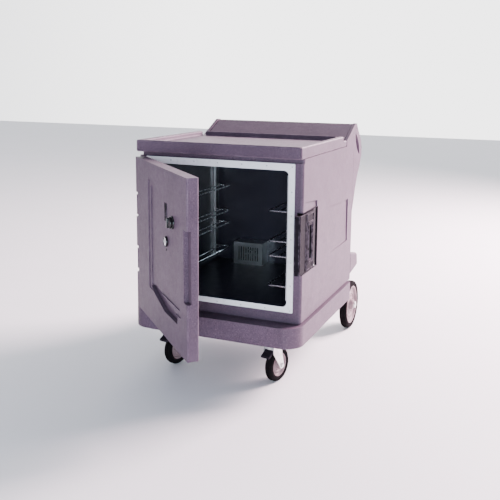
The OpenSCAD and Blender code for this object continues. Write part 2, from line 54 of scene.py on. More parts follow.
class Field:
    """A number that changes over a surface. Arithmetic on it adds Math nodes to its finish."""

    def __init__(self, finish, socket):
        self.finish, self.socket = finish, socket

    def math(self, operation, first, second):
        return self.finish.node("ShaderNodeMath", {"operation": operation}, {0: first, 1: second})

    def __add__(self, other):
        return self.math("ADD", self, other)

    def __mul__(self, other):
        return self.math("MULTIPLY", self, other)

    __radd__ = __add__
    __rmul__ = __mul__


class Finish:
    """One material. Fields made here feed its shader's colour, roughness and bump."""

    def __init__(self, name, metallic=0.0, shine=0.5, coat=0.0, coat_roughness=0.03):
        self.material = bpy.data.materials.new(name)
        self.material.use_nodes = True
        self.tree = self.material.node_tree
        self.tree.nodes.clear()
        self.shader = self.tree.nodes.new("ShaderNodeBsdfPrincipled")
        output = self.tree.nodes.new("ShaderNodeOutputMaterial")
        self.tree.links.new(self.shader.outputs[0], output.inputs["Surface"])
        fixed = {"Metallic": metallic, "Specular IOR Level": shine, "Coat Weight": coat,
                 "Coat Roughness": coat_roughness}
        for key, value in fixed.items():
            self.shader.inputs[key].default_value = value

    def node(self, kind, settings=None, inputs=None, output=0):
        """Adds any node from its type, its settings, and the values or fields on its sockets."""
        made = self.tree.nodes.new(kind)
        for key, value in (settings or {}).items():
            if key == "stops":
                self.set_stops(made.color_ramp, value)
            else:
                setattr(made, key, value)
        for key, value in (inputs or {}).items():
            self.feed(made.inputs[key], value)
        return Field(self, made.outputs[output])

    def set_stops(self, ramp, stops):
        """Gives a ramp its stops, each a place and a grey."""
        while len(ramp.elements) < len(stops):
            ramp.elements.new(1.0)
        for element, (place, shade) in zip(ramp.elements, stops):
            element.position = place
            element.color = (shade, shade, shade, 1)

    def feed(self, socket, value):
        """Links a field to a socket, or sets a plain value or colour on it."""
        if isinstance(value, Field):
            self.tree.links.new(value.socket, socket)
        elif isinstance(value, tuple) and len(value) == 3 and socket.type == "RGBA":
            socket.default_value = (*value, 1)
        else:
            socket.default_value = value

    def place(self, stretch=(1, 1, 1)):
        """The piece's own coordinates, in metres, stretched if asked."""
        spot = self.node("ShaderNodeTexCoord", output=3)
        if stretch == (1, 1, 1):
            return spot
        return self.node("ShaderNodeMapping", inputs={0: spot, 3: stretch})

    def noise(self, scale, detail=2.0, stretch=(1, 1, 1)):
        """Soft cloudy values about so many to the metre."""
        inputs = {"Vector": self.place(stretch), "Scale": scale, "Detail": detail}
        return self.node("ShaderNodeTexNoise", inputs=inputs)

    def cells(self, scale):
        """Values that rise from the middle of scattered cells."""
        inputs = {"Vector": self.place(), "Scale": scale}
        return self.node("ShaderNodeTexVoronoi", inputs=inputs)

    def ramp(self, field, *stops):
        """A field pushed through stops."""
        return self.node("ShaderNodeValToRGB", {"stops": stops}, {0: field})

    def blend(self, factor, first, second):
        """A mix of two colours."""
        inputs = {0: factor, 6: first, 7: second}
        return self.node("ShaderNodeMix", {"data_type": "RGBA"}, inputs, output=2)

    def edge_wear_and_highlight(self):
        """How tightly the surface bends: 1 on a tight edge, 0 on a flat. It places worn edges and painted edge
        highlights.
        """
        return self.node("ShaderNodeAttribute", {"attribute_name": "edge"}, output=2)

    def colour(self, value):
        self.feed(self.shader.inputs["Base Color"], value)

    def roughness(self, value):
        self.feed(self.shader.inputs["Roughness"], value)

    def bump(self, height, depth, strength=1.0):
        """Relief of a given depth in metres."""
        inputs = {"Height": height, "Distance": depth, "Strength": strength}
        self.feed(self.shader.inputs["Normal"], self.node("ShaderNodeBump", inputs=inputs))


def granite_plastic():
    """Moulded polyethylene with pale and dark flecks, cloudy at arm's length."""
    finish = Finish("granite_plastic", shine=0.18)
    cloud = finish.ramp(finish.noise(7, 3), (0.35, 0.0), (0.7, 1.0))
    ground = finish.blend(cloud, (0.084, 0.053, 0.079), (0.106, 0.068, 0.101))
    pale = finish.ramp(finish.noise(330, 2), (0.56, 0.0), (0.66, 1.0))
    dark = finish.ramp(finish.noise(260, 3), (0.34, 1.0), (0.44, 0.0))
    blots = finish.ramp(finish.noise(95, 3), (0.42, 0.0), (0.62, 1.0))
    flecked = finish.blend(pale * 0.55, ground, (0.21, 0.14, 0.19))
    flecked = finish.blend(dark * 0.6, flecked, (0.033, 0.019, 0.034))
    flecked = finish.blend(blots * 0.22, flecked, (0.072, 0.045, 0.076))
    # Lighter along tight edges: partly worn plastic, partly a painted highlight on the rounded edges.
    rubbed_and_highlit = finish.edge_wear_and_highlight() * finish.ramp(finish.noise(22, 4), (0.4, 0.0), (0.7, 1.0))
    finish.colour(finish.blend(rubbed_and_highlit * 0.5, flecked, (0.28, 0.20, 0.26)))
    finish.roughness(finish.noise(40, 3) * 0.22 + 0.40)
    finish.bump(finish.noise(420, 2) * 0.25 + finish.noise(14, 2), 0.0011, 0.5)
    return finish


def satin_plastic(name, tone, lift, shine=0.25, dull=0.34):
    """Dark moulded plastic or paint, lighter along its edges: partly worn, partly a painted highlight."""
    finish = Finish(name, shine=shine)
    patch = finish.noise(30, 4)
    # Lighter along tight edges towards the lift tone: partly worn, partly a painted highlight.
    rubbed_and_highlit = finish.edge_wear_and_highlight() * finish.ramp(finish.noise(60, 3), (0.35, 0.0), (0.65, 1.0))
    base = finish.blend(patch, tone, tuple(c * 1.35 for c in tone))
    finish.colour(finish.blend(rubbed_and_highlit * 0.4, base, lift))
    finish.roughness(finish.noise(150, 2) * 0.2 + dull)
    finish.bump(finish.noise(900, 2), 0.00025, 0.5)
    return finish


def gloss_plastic(name, tone):
    """Polished plastic under a clear coat."""
    finish = Finish(name, shine=0.3, coat=0.35, coat_roughness=0.08)
    finish.colour(finish.blend(finish.noise(25, 3), tone, tuple(c * 1.6 + 0.001 for c in tone)))
    finish.roughness(finish.noise(70, 3) * 0.12 + 0.16)
    finish.bump(finish.noise(35, 2), 0.0002, 0.3)
    return finish


def coated_strip():
    """White coated trim with light scuffs."""
    finish = Finish("coated_strip")
    streak = finish.noise(60, 3, (1, 1, 8))
    scuff = finish.ramp(finish.noise(38, 5), (0.55, 0.0), (0.75, 1.0))
    base = finish.blend(streak, (0.88, 0.87, 0.89), (0.94, 0.93, 0.95))
    finish.colour(finish.blend(scuff * 0.3 + finish.edge_wear_and_highlight() * 0.2, base, (0.52, 0.51, 0.53)))
    finish.roughness(scuff * 0.2 + 0.3)
    finish.bump(finish.noise(300, 2), 0.0002, 0.4)
    return finish


def brushed_steel(name, tone, stretch):
    """Stainless sheet with its grain along one axis."""
    finish = Finish(name, metallic=1.0)
    line = finish.noise(160, 4, stretch)
    smear = finish.noise(9, 3)
    finish.colour(finish.blend(line, tuple(c * 0.8 for c in tone), tone))
    finish.roughness(line * 0.18 + smear * 0.12 + 0.2)
    finish.bump(line, 0.00012, 0.5)
    return finish


def plated_wire():
    """Bright plating, dulled in patches."""
    finish = Finish("plated_wire", metallic=1.0)
    dull = finish.ramp(finish.noise(45, 4), (0.45, 0.0), (0.7, 1.0))
    finish.colour(finish.blend(dull, (0.80, 0.80, 0.82), (0.55, 0.55, 0.57)))
    finish.roughness(dull * 0.25 + 0.16)
    finish.bump(finish.noise(700, 2), 0.0001, 0.4)
    return finish


def zinc_plating():
    """Spangled zinc with grime in its hollows."""
    finish = Finish("zinc_plating", metallic=0.9)
    spangle = finish.cells(90)
    grime = finish.ramp(finish.noise(26, 5), (0.5, 0.0), (0.75, 1.0))
    base = finish.blend(spangle, (0.62, 0.61, 0.60), (0.80, 0.79, 0.77))
    finish.colour(finish.blend(grime * 0.45, base, (0.22, 0.20, 0.19)))
    finish.roughness(spangle * 0.15 + grime * 0.3 + 0.22)
    finish.bump(finish.noise(500, 2), 0.00015, 0.5)
    return finish


def wheel_plastic():
    """Pale moulded wheel discs with road dirt."""
    finish = Finish("wheel_plastic", shine=0.2)
    dirt = finish.ramp(finish.noise(32, 5), (0.42, 0.0), (0.72, 1.0))
    base = finish.blend(finish.noise(14, 2), (0.19, 0.13, 0.145), (0.26, 0.18, 0.195))
    finish.colour(finish.blend(dirt * 0.4, base, (0.30, 0.23, 0.24)))
    finish.roughness(dirt * 0.2 + 0.4)
    finish.bump(finish.noise(420, 2), 0.0003, 0.4)
    return finish


def tyre_rubber():
    """Dusty black rubber."""
    finish = Finish("tyre_rubber", shine=0.03)
    dust = finish.ramp(finish.noise(48, 5), (0.4, 0.0), (0.7, 1.0))
    finish.colour(finish.blend(dust, (0.004, 0.0032, 0.004), (0.009, 0.007, 0.008)))
    finish.roughness(dust * 0.12 + 0.78)
    finish.bump(finish.noise(600, 3), 0.0004, 0.6)
    return finish


def silicone_rubber():
    """The door seal's soft grey-black rubber."""
    finish = Finish("silicone_rubber", shine=0.25)
    finish.colour(finish.blend(finish.noise(80, 3), (0.028, 0.028, 0.032), (0.055, 0.055, 0.06)))
    finish.roughness(finish.noise(200, 2) * 0.2 + 0.5)
    finish.bump(finish.noise(500, 2), 0.0002, 0.5)
    return finish


def liner_in_painted_shade():
    """The slightly glossy lining of the compartment, coloured near-black as painted shade for the unlit interior.
    """
    finish = Finish("liner_in_painted_shade", coat=0.25, coat_roughness=0.2)
    cloud = finish.noise(6, 3)
    # The near-black tones are painted shade, darker than the lining's own colour.
    finish.colour(finish.blend(cloud, (0.012, 0.010, 0.018), (0.023, 0.020, 0.035)))
    finish.roughness(finish.noise(30, 3) * 0.2 + 0.24)
    finish.bump(finish.noise(22, 2), 0.0006, 0.4)
    return finish


def foam_filling():
    """Rigid yellow insulating foam."""
    finish = Finish("foam_filling")
    finish.colour(finish.blend(finish.cells(300), (0.80, 0.70, 0.42), (0.90, 0.84, 0.60)))
    finish.roughness(finish.noise(90, 2) * 0.1 + 0.85)
    finish.bump(finish.cells(420), 0.0006, 0.6)
    return finish


def heater_sheath():
    """The heater's heat-stained metal sheath."""
    finish = Finish("heater_sheath", metallic=0.7)
    finish.colour(finish.blend(finish.noise(60, 4), (0.10, 0.075, 0.07), (0.24, 0.17, 0.14)))
    finish.roughness(finish.noise(120, 2) * 0.2 + 0.45)
    finish.bump(finish.noise(400, 2), 0.0002, 0.5)
    return finish


def dial_face():
    """White enamel behind a clear cover."""
    finish = Finish("dial_face", coat=0.8, coat_roughness=0.05)
    finish.colour(finish.blend(finish.noise(90, 2), (0.82, 0.82, 0.80), (0.92, 0.92, 0.90)))
    finish.roughness(finish.noise(200, 2) * 0.1 + 0.3)
    return finish


finishes = {
    "moulded_plastic": granite_plastic(),
    "latch_plastic": satin_plastic("latch_nylon", (0.008, 0.006, 0.009), (0.24, 0.19, 0.25), 0.04, 0.5),
    "trim_white": coated_strip(),
    "stainless": brushed_steel("brushed_stainless", (0.66, 0.66, 0.68), (1, 1, 12)),
    "chrome_wire": plated_wire(),
    # The liner finish is painted shade: near-black for the unlit interior.
    "liner_dark": liner_in_painted_shade(),
    "insulation": foam_filling(),
    "heater_sheath": heater_sheath(),
    "dark_metal": satin_plastic("black_motor_coat", (0.02, 0.02, 0.022), (0.12, 0.12, 0.12)),
    "black_gloss": gloss_plastic("black_gloss", (0.003, 0.0028, 0.0035)),
    "lamp_lens": gloss_plastic("lamp_lens", (0.62, 0.10, 0.04)),
    "gasket_rubber": silicone_rubber(),
    "nylon": satin_plastic("natural_nylon", (0.66, 0.64, 0.58), (0.9, 0.89, 0.85)),
    "zinc_plate": zinc_plating(),
    "wheel_disc": wheel_plastic(),
    "tyre_rubber": tyre_rubber(),
}
dial_white = dial_face()
slot_of = {part["node"]: part["material_slot"] for part in frame["record"]["subparts"]}
body_of = {node: body for body, nodes in frame["record"]["behaviour"]["bodies"].items() for node in nodes}


# ---------- mesh tools ----------

WELD = 0.00002    # corners nearer than this are one corner
FLAT = 0.01       # faces that meet at less than this angle, in radians, are one face
CREASE = 38       # edges that turn by more than this many degrees stay sharp

def rotation_to(axis):
    """The turn that takes the Z axis to another axis."""
    return Vector((0, 0, 1)).rotation_difference(Vector(axis)).to_matrix().to_4x4()


def mark_edges(mesh):
    """Writes on each face how tightly the surface bends there, for worn edges and their painted highlights."""
    tight = 260.0
    least_area = 1e-9
    work = bmesh.new()
    work.from_mesh(mesh)
    bends = []
    for face in work.faces:
        shared = [edge for edge in face.edges if len(edge.link_faces) == 2]
        turn = sum(edge.calc_length() * edge.calc_face_angle(0.0) for edge in shared)
        bends.append(min(1.0, turn / (2 * face.calc_area() + least_area) / tight))
    work.free()
    layer = mesh.attributes.new("edge", "FLOAT", "FACE")
    layer.data.foreach_set("value", bends)


def shade(mesh, crease):
    """Smooth shading, broken where the surface turns by more than crease degrees."""
    mesh.polygons.foreach_set("use_smooth", [True] * len(mesh.polygons))
    mesh.set_sharp_from_angle(angle=math.radians(crease))


def settle(mesh, name, slot, body, nodes, finish=None, crease=CREASE):
    """Turns a mesh into a finished piece that rides on its body."""
    mesh.materials.clear()
    mesh.materials.append((finish or finishes[slot]).material)
    mesh.polygons.foreach_set("material_index", [0] * len(mesh.polygons))
    if not mesh.has_custom_normals:
        shade(mesh, crease)
    mark_edges(mesh)
    piece = bpy.data.objects.new(name, mesh)
    bpy.context.scene.collection.objects.link(piece)
    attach(piece, body)
    if nodes:
        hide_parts(*nodes)
    return piece


def shown_copy(mesh, kind, **settings):
    """The mesh as one modifier leaves it."""
    holder = bpy.data.objects.new("holder", mesh)
    bpy.context.scene.collection.objects.link(holder)
    modifier = holder.modifiers.new("step", kind)
    for key, value in settings.items():
        setattr(modifier, key, value)
    made = bpy.data.meshes.new_from_object(holder.evaluated_get(bpy.context.evaluated_depsgraph_get()))
    bpy.data.objects.remove(holder)
    return made


def soften(mesh, width, segments=3, angle=34):
    """Rounds the edges of a mesh that turn by more than an angle, in degrees."""
    return shown_copy(mesh, "BEVEL", width=width, segments=segments, angle_limit=math.radians(angle),
                      miter_outer="MITER_ARC")


def whole_flats(source, target):
    """Writes one mesh into another with its corners welded and its flats made whole again."""
    work = bmesh.new()
    work.from_mesh(source)
    bmesh.ops.remove_doubles(work, verts=work.verts, dist=WELD)
    bmesh.ops.dissolve_limit(work, angle_limit=FLAT, verts=work.verts, edges=work.edges)
    work.to_mesh(target)
    work.free()
    return target


def carve(mesh, cutter):
    """Cuts the forms in cutter out of a mesh."""
    tool = bpy.data.objects.new("cutter", cutter.mesh("cutter"))
    bpy.context.scene.collection.objects.link(tool)
    result = shown_copy(mesh, "BOOLEAN", operation="DIFFERENCE", object=tool, solver="EXACT")
    bpy.data.objects.remove(tool)
    return whole_flats(result, result)


def soft_node(node, width, segments=3, cutter=None):
    """Replaces one CAD node by the same form with moulded, rounded edges and any shallow relief."""
    relief_width, sharp = 0.0012, 50
    mesh = whole_flats(frame["nodes"][node].data, bpy.data.meshes.new(node + "_copy"))
    if width:
        mesh = soften(mesh, width, segments)
    if cutter:
        mesh = soften(carve(mesh, cutter), relief_width, 2, sharp)
    shade(mesh, sharp)
    mesh = shown_copy(mesh, "WEIGHTED_NORMAL", keep_sharp=True, weight=100)
    return settle(mesh, node + "_moulded", slot_of[node], body_of[node], [node])


class Form:
    """A mesh in the making. Each call adds one closed form."""

    def __init__(self):
        self.work = bmesh.new()

    def box(self, low, high, rounding=0.0, steps=2, turn=None):
        """A box between two corners, with rounded edges, turned about its middle."""
        low, high = Vector(low), Vector(high)
        middle, size = (low + high) / 2, high - low
        made = bmesh.ops.create_cube(self.work, size=1.0)["verts"]
        bmesh.ops.scale(self.work, vec=size, verts=made)
        if rounding:
            edges = {edge for vertex in made for edge in vertex.link_edges}
            made = bmesh.ops.bevel(self.work, geom=list(edges), offset=rounding, segments=steps,
                                   profile=0.5, affect="EDGES", clamp_overlap=True)["verts"]
        matrix = Matrix.Translation(middle)
        if turn:
            matrix = matrix @ turn
        bmesh.ops.transform(self.work, matrix=matrix, verts=made)
        return self

    def lathe(self, outline, at, axis, steps=48):
        """Spins a closed outline of (radius, height) points about an axis."""
        matrix = Matrix.Translation(Vector(at)) @ rotation_to(axis)
        rings = []
        for radius, height in outline:
            ring = []
            count = steps if radius > 1e-6 else 1
            for k in range(count):
                turn = 2 * math.pi * k / steps
                spot = Vector((radius * math.cos(turn), radius * math.sin(turn), height))
                ring.append(self.work.verts.new(matrix @ spot))
            rings.append(ring)
        for first, second in zip(rings, rings[1:] + rings[:1]):
            if len(first) == 1 and len(second) == 1:
                continue
            for k in range(steps):
                n = (k + 1) % steps
                if len(first) == 1:
                    corners = (first[0], second[k], second[n])
                elif len(second) == 1:
                    corners = (first[k], second[0], first[n])
                else:
                    corners = (first[k], second[k], second[n], first[n])
                self.work.faces.new(corners)
        return self

    def rod(self, start, end, radius, steps=20, rounding=0.0):
        """A round bar between two points."""
        start, end = Vector(start), Vector(end)
        length = (end - start).length
        edge = min(rounding, radius * 0.9, length / 2)
        outline = [(0, 0), (radius - edge, 0), (radius, edge), (radius, length - edge),
                   (radius - edge, length), (0, length)]
        if not edge:
            outline = [(0, 0), (radius, 0), (radius, length), (0, length)]
        return self.lathe(outline, start, end - start, steps)

    def loft(self, loops):
        """Skins a row of closed loops that have the same number of points, and caps both ends."""
        rings = [[self.work.verts.new(Vector(point)) for point in loop] for loop in loops]
        self.work.faces.new(rings[0][::-1])
        self.work.faces.new(rings[-1])
        for first, second in zip(rings, rings[1:]):
            for k in range(len(first)):
                n = (k + 1) % len(first)
                self.work.faces.new((first[k], first[n], second[n], second[k]))
        return self

    def prism(self, outline, low, high, matrix):
        """Pushes a flat outline from one height to another, then places it."""
        return self.loft([[matrix @ Vector((x, y, height)) for x, y in outline] for height in (low, high)])

    def move(self, matrix):
        """Moves everything made so far."""
        bmesh.ops.transform(self.work, matrix=matrix, verts=self.work.verts)
        return self

    def mesh(self, name):
        """Closes the form and hands over its mesh."""
        bmesh.ops.recalc_face_normals(self.work, faces=self.work.faces)
        mesh = bpy.data.meshes.new(name)
        self.work.to_mesh(mesh)
        self.work.free()
        return mesh

    def piece(self, name, slot, body, *nodes, finish=None, crease=CREASE):
        """Hands over the form as a finished piece in place of the named CAD nodes."""
        return settle(self.mesh(name), name, slot, body, nodes, finish, crease)


def wire(points, radius, bend, closed=False):
    """A round wire along points, with its corners bent to a radius, as a mesh."""
    curve = bpy.data.curves.new("wire", "CURVE")
    curve.dimensions = "3D"
    curve.bevel_depth = radius
    curve.bevel_resolution = 3
    curve.use_fill_caps = True
    bend_steps = 6
    path = []
    count = len(points)
    for k, point in enumerate(points):
        point = Vector(point)
        if not closed and k in (0, count - 1):
            path.append(point)
            continue
        before = (Vector(points[k - 1]) - point).normalized()
        after = (Vector(points[(k + 1) % count]) - point).normalized()
        for step in range(bend_steps + 1):
            t = step / bend_steps
            path.append((1 - t) ** 2 * (point + before * bend) + 2 * t * (1 - t) * point
                        + t * t * (point + after * bend))
    spline = curve.splines.new("POLY")
    spline.points.add(len(path) - 1)
    for spot, place in zip(spline.points, path):
        spot.co = (*place, 1)
    spline.use_cyclic_u = closed
    holder = bpy.data.objects.new("wire", curve)
    bpy.context.scene.collection.objects.link(holder)
    mesh = bpy.data.meshes.new_from_object(holder.evaluated_get(bpy.context.evaluated_depsgraph_get()))
    bpy.data.objects.remove(holder)
    bpy.data.curves.remove(curve)
    return mesh


def gather(form, mesh):
    """Adds a mesh to a form."""
    form.work.from_mesh(mesh)
    bpy.data.meshes.remove(mesh)
    return form


# ---------- camera, light and floor ----------

def place_camera():
    """A short telephoto view from the front right, a little above the work top."""
    data = bpy.data.cameras.new("camera")
    data.sensor_width = 36.0
    data.lens = 53.3
    data.shift_y = -0.1
    camera = bpy.data.objects.new("camera", data)
    bpy.context.scene.collection.objects.link(camera)
    yaw, pitch, roll = (math.radians(a) for a in (22.70, 9.47, 0.55))
    turn = Matrix.Rotation(yaw, 4, "Z") @ Matrix.Rotation(math.pi / 2 - pitch, 4, "X")
    turn = turn @ Matrix.Rotation(roll, 4, "Z")
    camera.matrix_world = Matrix.Translation((1.344, -3.0797, 1.3297)) @ turn
    bpy.context.scene.camera = camera


def area_light(name, at, target, size, power, tone):
    """A soft rectangular lamp aimed at a point."""
    data = bpy.data.lights.new(name, "AREA")
    data.shape = "RECTANGLE"
    data.size, data.size_y = size
    data.energy = power
    data.color = tone
    light = bpy.data.objects.new(name, data)
    bpy.context.scene.collection.objects.link(light)
    light.location = at
    light.rotation_euler = (Vector(target) - Vector(at)).to_track_quat("-Z", "Y").to_euler()


def studio_world():
    """A bright sweep behind the carrier and to its right, and a dim room in front of it."""
    world = bpy.data.worlds.new("studio")
    bpy.context.scene.world = world
    world.use_nodes = True
    tree = world.node_tree
    background = tree.nodes["Background"]
    spot = tree.nodes.new("ShaderNodeTexCoord")
    toward = tree.nodes.new("ShaderNodeVectorMath")
    toward.operation = "DOT_PRODUCT"
    toward.inputs[1].default_value = (0.16, 0.98, 0.0)
    tree.links.new(spot.outputs["Generated"], toward.inputs[0])
    sweep = tree.nodes.new("ShaderNodeValToRGB")
    sweep.color_ramp.elements[0].position = 0.25
    sweep.color_ramp.elements[0].color = (0.10, 0.11, 0.14, 1)
    sweep.color_ramp.elements[1].position = 0.80
    sweep.color_ramp.elements[1].color = (1.0, 0.99, 1.0, 1)
    tree.links.new(toward.outputs["Value"], sweep.inputs[0])
    tree.links.new(sweep.outputs[0], background.inputs[0])
    background.inputs[1].default_value = 4.0


def set_stage():
    """A pale floor and three soft lamps."""
    studio_world()
    floor = Form().box((-14, -14, -0.02), (14, 14, 0.0)).mesh("floor")
    pale = Finish("pale_floor")
    pale.colour(pale.blend(pale.noise(2, 2), (0.86, 0.86, 0.87), (0.90, 0.90, 0.91)))
    pale.roughness(pale.noise(5, 2) * 0.1 + 0.6)
    floor.materials.append(pale.material)
    ground = bpy.data.objects.new("floor", floor)
    bpy.context.scene.collection.objects.link(ground)
    area_light("key", (3.0, 4.0, 3.2), (0.2, 0.1, 0.8), (2.4, 2.4), 2000, (1.0, 0.75, 0.83))
    area_light("door_fill", (-4.2, -2.2, 0.9), (-0.2, -0.6, 0.6), (1.4, 1.4), 31, (1.0, 0.56, 0.76))
    area_light("front_fill", (2.0, -5.8, 1.0), (0.1, -0.3, 0.6), (2.0, 2.0), 285, (0.70, 0.90, 1.0))


place_camera()
set_stage()


# ---------- places taken from the frame ----------

door_joint = joints["door_swing"]
hinge = Vector(door_joint["pos_m"])
door_angle = math.radians(door_joint["range_deg"][1])
door_turn = Matrix.Translation(hinge) @ Matrix.Rotation(-door_angle, 4, "Z") @ Matrix.Translation(-hinge)
shut = door_turn.inverted()
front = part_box("opening_trim")[1].y


def shut_box(node):
    """The lowest and highest corners that a door piece has when the door is shut."""
    points = [shut @ vertex.co for vertex in frame["nodes"][node].data.vertices]
    low = Vector(min(p[k] for p in points) for k in range(3))
    high = Vector(max(p[k] for p in points) for k in range(3))
    return low, high


def solids(node):
    """The corners of each separate solid in a CAD node."""
    work = bmesh.new()
    work.from_mesh(frame["nodes"][node].data)
    bmesh.ops.remove_doubles(work, verts=work.verts, dist=WELD)
    left, found = set(work.verts), []
    while left:
        edge, island = [left.pop()], []
        while edge:
            vertex = edge.pop()
            island.append(vertex.co.copy())
            for link in vertex.link_edges:
                other = link.other_vert(vertex)
                if other in left:
                    left.remove(other)
                    edge.append(other)
        low = Vector(min(p[k] for p in island) for k in range(3))
        high = Vector(max(p[k] for p in island) for k in range(3))
        found.append((low, high))
    work.free()
    return sorted(found, key=lambda pair: tuple(round(c, 4) for c in pair[0]))


# ---------- mouldings ----------

def body_relief():
    """Shallow pressed panels in the side walls, deepest along their top edge."""
    low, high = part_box("cabinet_shell")
    relief = Form()
    panels = ((high.x, 0.352, 0.700, 0.520, 0.741, 0.007), (low.x, 0.352, 0.700, 0.520, 0.741, 0.007),
              (high.x, 0.030, 0.193, 0.770, 0.812, 0.008))
    past, proud, skew = 0.02, 0.0005, 0.009
    for wall, y0, y1, z0, z1, deep in panels:
        side = 1 if wall > 0 else -1
        depth = side * deep
        inner = [(wall + side * proud, front + y0, z0), (wall - depth * 0.6, front + y1, z0),
                 (wall - depth, front + y1, z1 - skew), (wall - depth * 0.8, front + y0, z1 + skew * 0.5)]
        relief.loft([inner, [(wall + side * past, y, z) for _, y, z in inner]])
    return relief


def tray_relief():
    """The seam where the work top meets the right-hand side wall."""
    low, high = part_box("top_tray")
    cut, wide, past = 0.005, 0.004, 0.01
    outline = [(low.y - past, low.z - past), (low.y + cut, low.z - past), (low.y + cut, high.z - cut),
               (high.y + past, high.z - cut), (high.y + past, high.z + past), (low.y - past, high.z + past)]
    return Form().loft([[(x, y, z) for y, z in outline] for x in (high.x - wide * 2, high.x - wide)])


def door_relief():
    """The swelling in the right edge of the door's panel, level with the top of the grip."""
    low, high = shut_box("door_shell")
    right, bulge, bottom, top = hinge.x + 0.668, 0.040, 0.725, 0.904
    steps, inward, ahead, deep = 20, 0.02, 0.005, 0.004
    edge = []
    for k in range(steps + 1):
        rise = k / steps
        edge.append((right + bulge * math.sin(math.pi * rise) ** 2, bottom + rise * (top - bottom)))
    outline = [(right - inward, bottom)] + edge + [(right - inward, top)]
    face = [(x, low.y - ahead, z) for x, z in outline]
    floor = [(x, low.y + deep, z) for x, z in outline]
    return Form().loft([face, floor]).move(door_turn)


def lever_ribs():
    """The raised edge round the lever's outer face, and one rib in front of it."""
    low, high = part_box("latch_lever")
    root, tip, rib, past = high.x - 0.0045, high.x - 0.0003, 0.005, 0.004
    y0, y1, z0, z1 = front + 0.032, front + 0.1175, low.z + past, high.z - past
    ribs = Form()
    for y in (y0, y1 - rib, y0 - 0.016):
        ribs.box((root, y, z0), (tip, y + rib, z1), 0.0012, 3)
    for z in (z0, z1 - rib):
        ribs.box((root, y0, z), (tip, y1, z + rib), 0.0012, 3)
    ribs.piece("latch_lever_ribs", "latch_plastic", "latch")


def mouldings():
    """The moulded bodies, with the edge radius each one has."""
    soft_node("cabinet_shell", 0.005, 3, body_relief())
    soft_node("top_tray", 0.0065, 3, tray_relief())
    soft_node("console_hood", 0.009, 3)
    soft_node("push_rail", 0.009, 4)
    soft_node("rear_bumper", 0.012, 4)
    soft_node("base_bumper", 0.014, 4)
    soft_node("hinge_knuckles", 0.003, 3)
    soft_node("door_shell", 0.0045, 3, door_relief())
    soft_node("door_liner", 0.0015, 2)
    soft_node("latch_housing", 0.0012, 2)
    soft_node("latch_lever", 0.002, 3)
    lever_ribs()
    for side in ("left", "right"):
        soft_node("caster_fork_" + side, 0.0012, 2)
        soft_node("brake_pedal_" + side, 0.0025, 3)


# ---------- door fittings ----------

def door_slot():
    """A dark slotted escutcheon let into the door."""
    low, high = shut_box("door_slot_insert")
    x, z = (low.x + high.x) / 2, (low.z + high.z) / 2
    wide, tall = (high.x - low.x) / 2, (high.z - low.z) / 2
    rim, inset_by, rib_gap, rib = 0.005, 0.001, 0.0065, 0.0008
    slot = Form()
    slot.box((x - wide + inset_by, high.y - 0.0012, z - tall + inset_by),
             (x + wide - inset_by, high.y - 0.0002, z + tall - inset_by), 0.0004)
    for side in (-1, 1):
        outer = x + side * wide
        inner = x + side * (wide - rim)
        slot.box((min(outer, inner), low.y, z - tall), (max(outer, inner), high.y, z + tall), 0.0009, 3)
        end = z + side * tall
        inset = z + side * (tall - rim)
        slot.box((x - wide, low.y, min(end, inset)), (x + wide, high.y, max(end, inset)), 0.0009, 3)
    for k in range(-4, 5):
        slot.box((x - wide + rim, high.y - 0.002, z + k * rib_gap - rib),
                 (x + wide - rim, high.y - 0.0008, z + k * rib_gap + rib), 0.0003)
    slot.move(door_turn).piece("slot_escutcheon", "latch_plastic", "door", "door_slot_insert")


def door_gauge():
    """A dial thermometer in a dark bezel, with its fixing screw under it."""
    low, high = shut_box("door_thermometer")
    radius = (high.x - low.x) / 2
    x, z = (low.x + high.x) / 2, high.z - radius
    face, back = low.y, high.y
    depth = back - face
    dial_at = back - depth * 0.73
    dial_t, marks_from, marks_to = 0.0006, 0.0008, 0.76
    out = (0, -1, 0)
    bezel = Form()
    bezel.lathe([(0.0, 0.0), (radius, 0.0), (radius, depth * 0.55), (radius * 0.96, depth * 0.85),
                 (radius * 0.9, depth), (radius * 0.84, depth * 0.96), (radius * 0.80, depth * 0.72),
                 (0.0, depth * 0.72)], (x, back, z), out, 64)
    bezel.move(door_turn).piece("gauge_bezel", "stainless", "door", "door_thermometer",
                                finish=finishes["black_gloss"])
    dial = Form()
    dial.lathe([(0.0, 0.0), (radius * 0.79, 0.0), (radius * 0.79, dial_t), (0.0, dial_t)],
               (x, dial_at, z), out, 64)
    dial.move(door_turn).piece("gauge_dial", "trim_white", "door", finish=dial_white)
    marks = Form()
    plane = dial_at - marks_from
    for k in range(19):
        angle = math.radians(-135 + 15 * k)
        reach = 0.70 if k % 3 else 0.62
        spin = Matrix.Rotation(angle, 4, "Y")
        centre = Vector((x, plane, z)) + spin @ Vector((0, 0, radius * (reach + marks_to) / 2))
        half = Vector((0.0003, 0.0002, radius * (marks_to - reach) / 2))
        marks.box(centre - half, centre + half, turn=spin)
    spin = Matrix.Rotation(math.radians(-40), 4, "Y")
    centre = Vector((x, plane - 0.0004, z)) + spin @ Vector((0, 0, radius * 0.2))
    half = Vector((0.0006, 0.0003, radius * 0.42))
    marks.box(centre - half, centre + half, turn=spin)
    marks.lathe([(0.0, 0.0), (0.0022, 0.0), (0.0022, 0.001), (0.0, 0.0014)], (x, plane, z), out, 24)
    marks.move(door_turn).piece("gauge_marks", "black_gloss", "door")
    screw = Form()
    head = 0.0044
    dome = [(0.0, 0.0), (head, 0.0), (head, 0.001), (head * 0.8, 0.0022), (head * 0.4, 0.0027), (0.0, 0.0028)]
    screw.lathe(dome, (x, back, low.z + head), out, 32)
    screw.move(door_turn).piece("gauge_screw", "black_gloss", "door")


